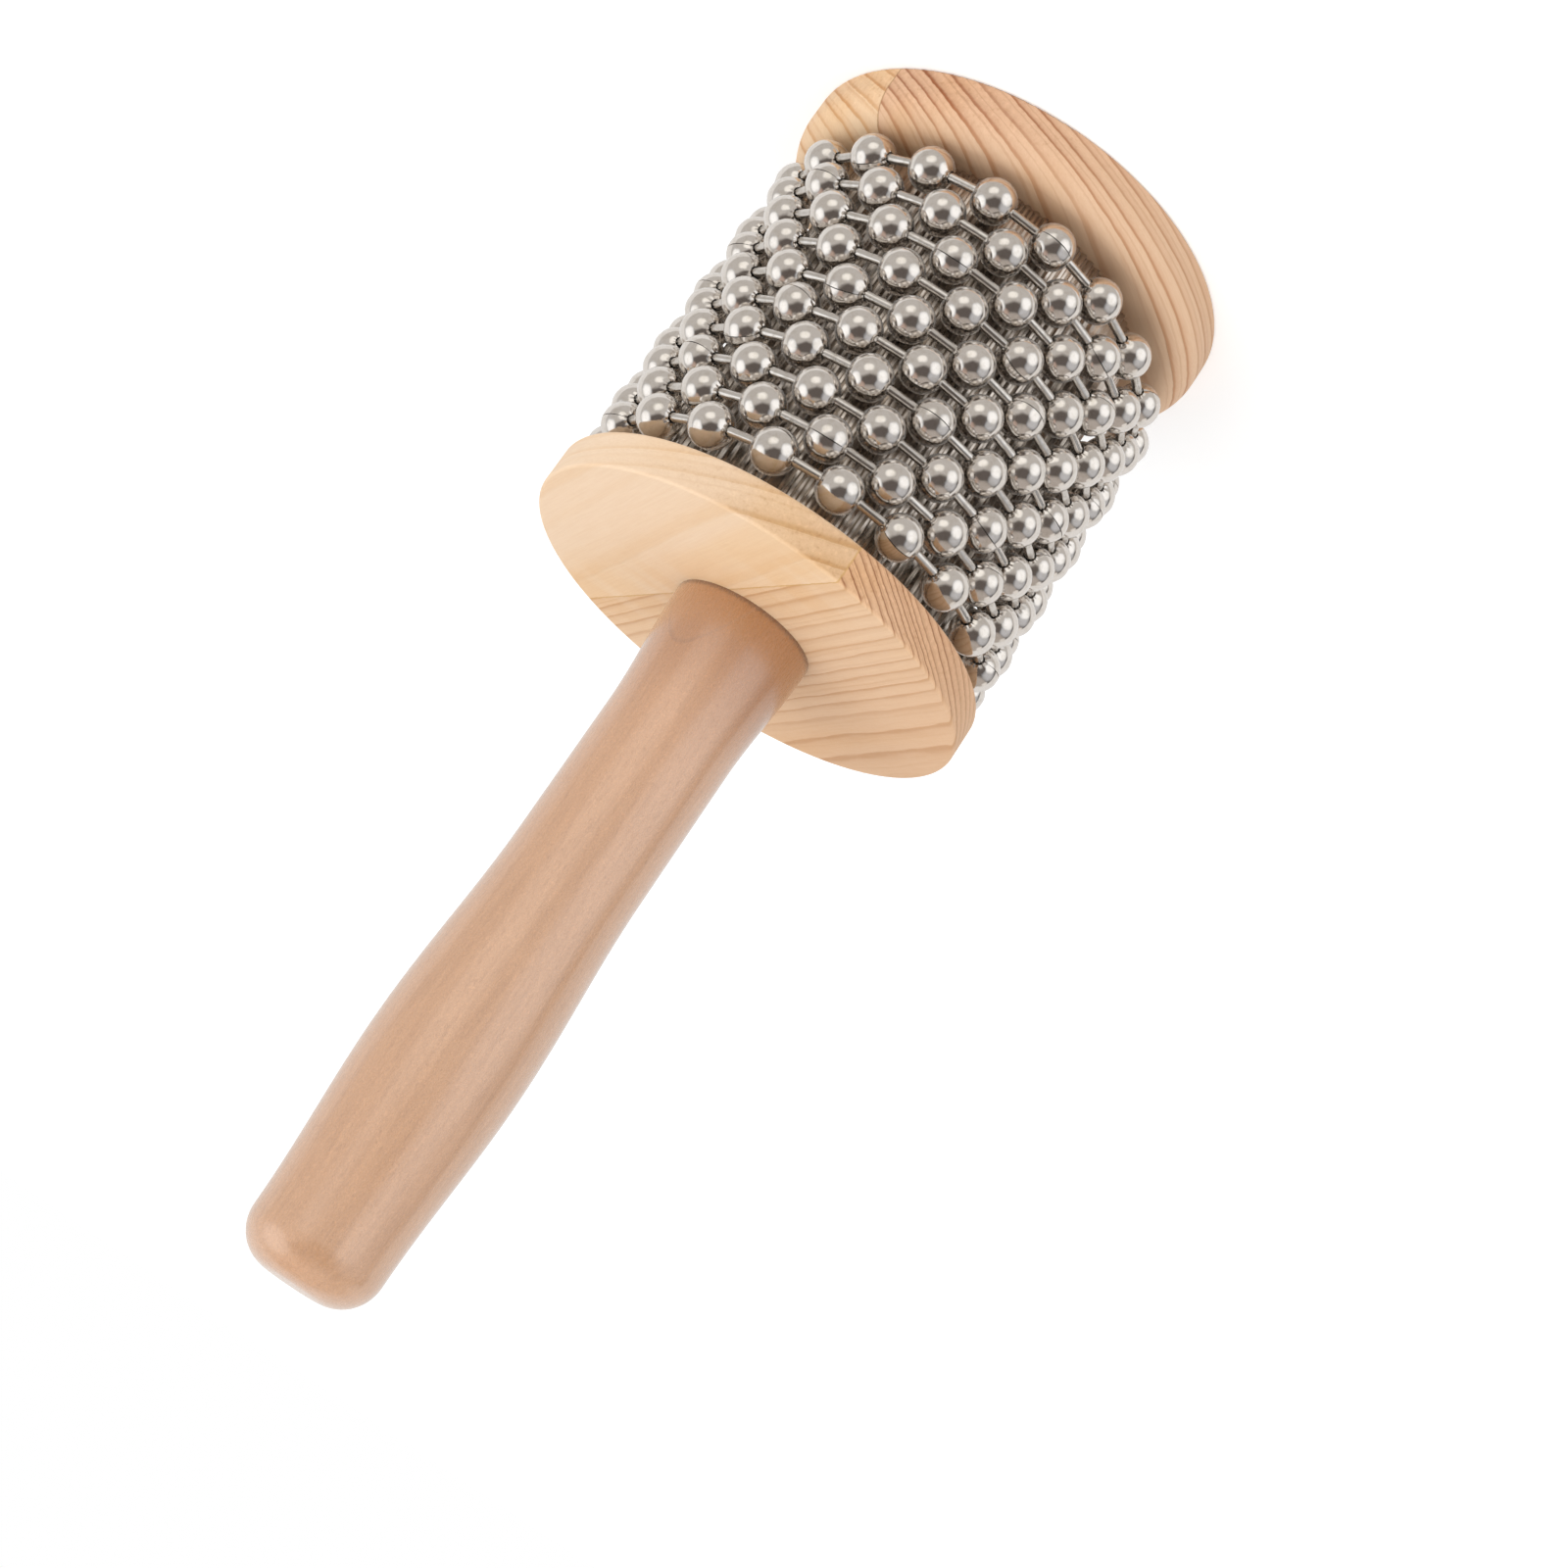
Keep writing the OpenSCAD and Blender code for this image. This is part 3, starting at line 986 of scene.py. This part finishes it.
@dataclass
class Studio:
    """Floor, backdrop and lights of a plain pale studio.

    Attributes:
        camera: The camera, whose picture gives the soft boxes their places.
        floor_r: Radius of the floor.
        floor_drop: How far the floor lies under the lowest disc.
        floor_glow: Glow of the floor that only the camera sees.
        room: Colour of the room in front of the backdrop.
        backdrop: Colour of the backdrop.
        ceiling: Colour of the diffuser overhead.
        ceiling_sag: How far the diffuser comes down at the sides.
        ambient: Strength of the light from all sides.
        boxes: The soft lights that steel mirrors.
        lamps: The lamps that light the wood.
    """

    camera: PhotoCamera
    floor_r: float = 6.0
    floor_drop: float = 0.02 * MM
    floor_glow: float = 0.34
    room: Colour = (0.135, 0.115, 0.105)
    backdrop: Colour = (0.88, 0.86, 0.84)
    ceiling: Colour = (0.60, 0.57, 0.54)
    ceiling_sag: float = 0.3
    ambient: float = 0.6
    boxes: tuple[SoftBox, ...] = (
        SoftBox((-0.06, 0.69, 0.73), 24, 20, 1.0, 1.15, (1.0, 0.97, 0.92)),
        SoftBox((0.877, 0.03, 0.479), 29, 27, 1.0, 1.22),
        SoftBox((0.76, -0.50, 0.42), 30, 25, 0.95, 0.62, (0.97, 0.97, 1.0)),
        SoftBox((-0.944, -0.05, 0.327), 26, 26, 1.0, 1.28),
        SoftBox((-0.97, 0.05, 0.1), 42, 44, 0.9, 0.6, (1.0, 0.97, 0.94)),
        SoftBox((-0.70, -0.62, 0.33), 28, 26, 0.9, 0.55, (1.0, 0.76, 0.64)),
        SoftBox((0.42, -0.90, -0.06), 10, 11, 0.8, 0.9, (1.0, 0.95, 0.9)),
        SoftBox((-0.1, -0.97, 0.0), 50, 40, 0.8, 0.5, (1.0, 0.9, 0.82)),
    )
    lamps: tuple[Lamp, ...] = (
        Lamp("left", (-0.70, 0.40, 0.60), 60, 1.0),
        Lamp("right", (0.80, -0.12, 0.58), 60, 1.02),
        Lamp("low", (-0.45, -0.72, 0.53), 70, 1.1),
    )

    def floor(self) -> None:
        """Lays the floor."""
        material, web, shader = new_material("pale_floor")
        shader.inputs["Base Color"].default_value = (0.82, 0.82, 0.82, 1.0)
        shader.inputs["Roughness"].default_value = 0.9
        shader.inputs["Specular IOR Level"].default_value = 0.0
        path = web.node("ShaderNodeLightPath")
        glow = web.node("ShaderNodeEmission")
        web.feed(glow.inputs["Color"], (*WHITE, 1.0))
        seen = path.outputs[Ray.CAMERA.value]
        web.feed(glow.inputs["Strength"], web.math("MULTIPLY", seen, self.floor_glow))
        both = web.node("ShaderNodeAddShader")
        web.feed(both.inputs[0], shader.outputs[0])
        web.feed(both.inputs[1], glow.outputs[0])
        output = next(n for n in web.tree.nodes if n.type == "OUTPUT_MATERIAL")
        web.feed(output.inputs["Surface"], both.outputs[0])
        work = bmesh.new()
        bmesh.ops.create_circle(work, cap_ends=True, segments=96, radius=self.floor_r,
                                matrix=Matrix.Translation((0, 0, -self.floor_drop)))
        mesh = bpy.data.meshes.new("floor")
        work.to_mesh(mesh)
        work.free()
        mesh.materials.append(material)
        floor = bpy.data.objects.new("floor", mesh)
        bpy.context.scene.collection.objects.link(floor)
        floor.visible_glossy = False

    def _background(self, web: NodeWeb, colour: Source, strength: float = 1.0) -> NodeSocket:
        """Adds a background.

        Args:
            web: The world's nodes.
            colour: Its colour.
            strength: Its strength.

        Returns:
            Its shader.
        """
        made = web.node("ShaderNodeBackground")
        web.feed(made.inputs["Color"], (*colour, 1.0) if isinstance(colour, tuple) else colour)
        made.inputs["Strength"].default_value = strength
        return made.outputs[0]

    def surroundings(self) -> None:
        """Makes the world: white to the camera, a lit studio to steel, and an even light to the rest."""
        world = bpy.data.worlds.new("studio")
        bpy.context.scene.world = world
        world.use_nodes = True
        web = NodeWeb(world.node_tree)
        turn = self.camera.turn().to_3x3()
        towards = web.node("ShaderNodeTexCoord").outputs["Generated"]
        rightward, upward, near = (web.vector("DOT_PRODUCT", towards, tuple(axis)) for axis in turn.col)
        sagging = web.math("MULTIPLY_ADD", web.math("ABSOLUTE", rightward), self.ceiling_sag, upward)
        overhead = web.math("MULTIPLY", web.step(sagging, 0.05, 0.36), web.step(near, -0.2, -0.15))
        mirrored = web.mix(overhead, self.room, self.ceiling)
        mirrored = web.mix(web.step(near, -0.2, -0.16, 1.0, 0.0), mirrored, self.backdrop)
        for box in self.boxes:
            mirrored = web.vector("MAXIMUM", mirrored, box.glow(web, towards, turn))
        path = web.node("ShaderNodeLightPath")
        glossy = web.math("MAXIMUM", path.outputs[Ray.GLOSSY.value], path.outputs[Ray.TRANSMISSION.value])
        shown = self._background(web, WHITE, self.ambient)
        for share, shader in ((glossy, self._background(web, mirrored)),
                              (path.outputs[Ray.CAMERA.value], self._background(web, WHITE))):
            mixer = web.node("ShaderNodeMixShader")
            for socket, source in zip(mixer.inputs, (share, shown, shader)):
                web.feed(socket, source)
            shown = mixer.outputs[0]
        web.feed(web.node("ShaderNodeOutputWorld").inputs["Surface"], shown)

    def light(self) -> None:
        """Hangs the lamps."""
        turn = self.camera.turn()
        for plan in self.lamps:
            lamp = bpy.data.lights.new(plan.name, "SUN")
            lamp.angle = math.radians(plan.spread_deg)
            lamp.energy = plan.strength
            holder = bpy.data.objects.new(plan.name, lamp)
            bpy.context.scene.collection.objects.link(holder)
            holder.location = turn @ Vector(plan.towards)
            holder.rotation_mode = "QUATERNION"
            holder.rotation_quaternion = holder.location.to_track_quat("Z", "Y")
            holder.visible_glossy = False
            LOG.info("lamp %s: strength %.2f", plan.name, plan.strength)

    def build(self) -> None:
        """Sets up the whole studio."""
        self.floor()
        self.surroundings()
        self.light()


def millimetres(*lengths: float) -> tuple[float, ...]:
    """Returns lengths given in millimetres in metres."""
    return tuple(length * MM for length in lengths)


@dataclass
class Discs:
    """The two turned discs, each glued up from two pine boards.

    Attributes:
        handle_pine: Finish of the disc at the handle.
        end_pine: Finish of the far disc.
    """

    handle_pine: PineFinish = PineFinish(
        name="handle_disc_pine",
        near_board=PineBoard(
            fibre_deg=75.6, pith_across=85.4 * MM, pith_height=-139.6 * MM, ring_pitch=3.2 * MM,
            rings=millimetres(216.85, 219.25, 222.2, 226.4), late_from=0.35,
            early=(0.92, 0.70, 0.50), late=(0.87, 0.61, 0.38),
            end_early=(0.80, 0.565, 0.37), end_late=(0.62, 0.37, 0.18)),
        far_board=PineBoard(
            fibre_deg=71.4, pith_across=-45.4 * MM, pith_height=-4.0 * MM, ring_pitch=1.15 * MM,
            rings=millimetres(78.5, 79.6, 80.8, 82.0, 83.1, 84.3, 85.1, 85.8, 86.65, 87.4,
                              88.35, 89.2, 90.3, 91.5, 92.6, 94.15, 95.45, 96.5, 97.6),
            late_from=0.4, heart=(0.9, 0.83, 0.78), heart_from=80 * MM, heart_to=95 * MM,
            early=(0.87, 0.62, 0.41), late=(0.64, 0.37, 0.19),
            end_early=(0.82, 0.53, 0.33), end_late=(0.34, 0.13, 0.05)),
        glue_deg=65, glue_across=8.6 * MM, glue=(0.66, 0.38, 0.13), resin=(0.97, 0.90, 0.79))
    end_pine: PineFinish = PineFinish(
        name="end_disc_pine",
        near_board=PineBoard(
            fibre_deg=134.6, pith_across=-20.0 * MM, pith_height=-46.1 * MM, ring_pitch=2.2 * MM,
            rings=millimetres(53.9, 56.2, 58.6, 60.9, 62.8, 64.7, 67.1, 69.3), late_from=0.35,
            early=(0.91, 0.66, 0.43), late=(0.68, 0.35, 0.14),
            end_early=(0.88, 0.61, 0.38), end_late=(0.60, 0.28, 0.10)),
        far_board=PineBoard(
            fibre_deg=129.7, pith_across=-70.4 * MM, pith_height=-111.5 * MM, ring_pitch=2.0 * MM,
            rings=millimetres(118.9, 120.85, 122.65, 124.45, 126.25, 128.7, 131.1, 133.75,
                              135.5, 137.0, 139.0, 141.0),
            late_from=0.35, early=(0.82, 0.56, 0.37), late=(0.50, 0.21, 0.085),
            end_early=(0.80, 0.50, 0.315), end_late=(0.36, 0.115, 0.04)),
        glue_deg=120.2, glue_across=12.0 * MM)

    def build(self) -> None:
        """Dresses both discs."""
        dress_node("handle_disc", self.handle_pine.material())
        dress_node("end_disc", self.end_pine.material())


@dataclass
class Drum:
    """The wooden core, its ribbed sleeve, and the tacks and screws that hold them.

    Attributes:
        sleeve: Finish of the ribbed sheet.
        fixings: Finish of the tacks and screws.
        core: Finish of the core.
    """

    sleeve: SteelFinish = SteelFinish(
        "sleeve_steel_sheet", bright=(0.67, 0.61, 0.55), dull=(0.53, 0.47, 0.41), smooth=0.20, rough=0.32,
        wave_pitch=3.0 * MM, wave_depth=0.01 * MM, stretch=(1.0, 1.0, 0.15), haze=0.08)
    fixings: SteelFinish = SteelFinish(
        "zinc_fixings", bright=(0.62, 0.61, 0.58), dull=(0.46, 0.45, 0.42), smooth=0.28, rough=0.45,
        wave_pitch=0.8 * MM, wave_depth=0.02 * MM)
    core: PineFinish = PineFinish(
        name="core_pine",
        near_board=PineBoard(90, pith_across=10 * MM, pith_height=-60 * MM, ring_pitch=2.4 * MM),
        far_board=PineBoard(90, pith_across=-30 * MM, pith_height=-50 * MM, ring_pitch=2.0 * MM),
        glue_deg=90, glue_across=0.0)

    def build(self) -> None:
        """Dresses the drum's pieces."""
        dress_node("drum_core", self.core.material())
        dress_node("ribbed_sleeve", self.sleeve.material())
        fixings = self.fixings.material()
        dress_node("sleeve_tacks", fixings)
        dress_node("end_screws", fixings)


@dataclass
class ChainSet:
    """All the loops of ball chain.

    Attributes:
        loops: How many loops there are.
        ball_steel: Finish of the balls.
        link_steel: Finish of the links.
    """

    loops: int = 10
    ball_steel: SteelFinish = SteelFinish(
        "plated_ball_steel", bright=(0.79, 0.75, 0.71), dull=(0.71, 0.665, 0.61), smooth=0.10, rough=0.18,
        wave_pitch=1.6 * MM, wave_depth=0.025 * MM, haze=0.4)
    link_steel: SteelFinish = SteelFinish(
        "plated_link_steel", bright=(0.70, 0.67, 0.635), dull=(0.6, 0.56, 0.51), smooth=0.14, rough=0.28,
        wave_pitch=0.7 * MM, wave_depth=0.02 * MM, haze=0.2)

    def build(self) -> None:
        """Builds the balls and dresses the links."""
        balls = self.ball_steel.material()
        links = self.link_steel.material()
        ball = ChainLoop(1).ball()
        for number in range(1, self.loops + 1):
            ChainLoop(number).build(ball, balls)
            dress_node(f"chain_{number:02d}_links", links)
        bpy.data.meshes.remove(ball)


def set_view() -> None:
    """Shows colours as they are written."""
    bpy.context.scene.view_settings.view_transform = "Standard"


def main() -> None:
    """Builds the studio and then the instrument, piece by piece."""
    logging.basicConfig(level=logging.INFO, format="%(message)s")
    set_view()
    camera = PhotoCamera()
    camera.build()
    Studio(camera).build()
    Discs().build()
    handle = Handle()
    handle.build(HandleFinish("handle_hardwood", handle.face).material())
    Drum().build()
    ChainSet().build()


if __name__ == "__main__":
    main()
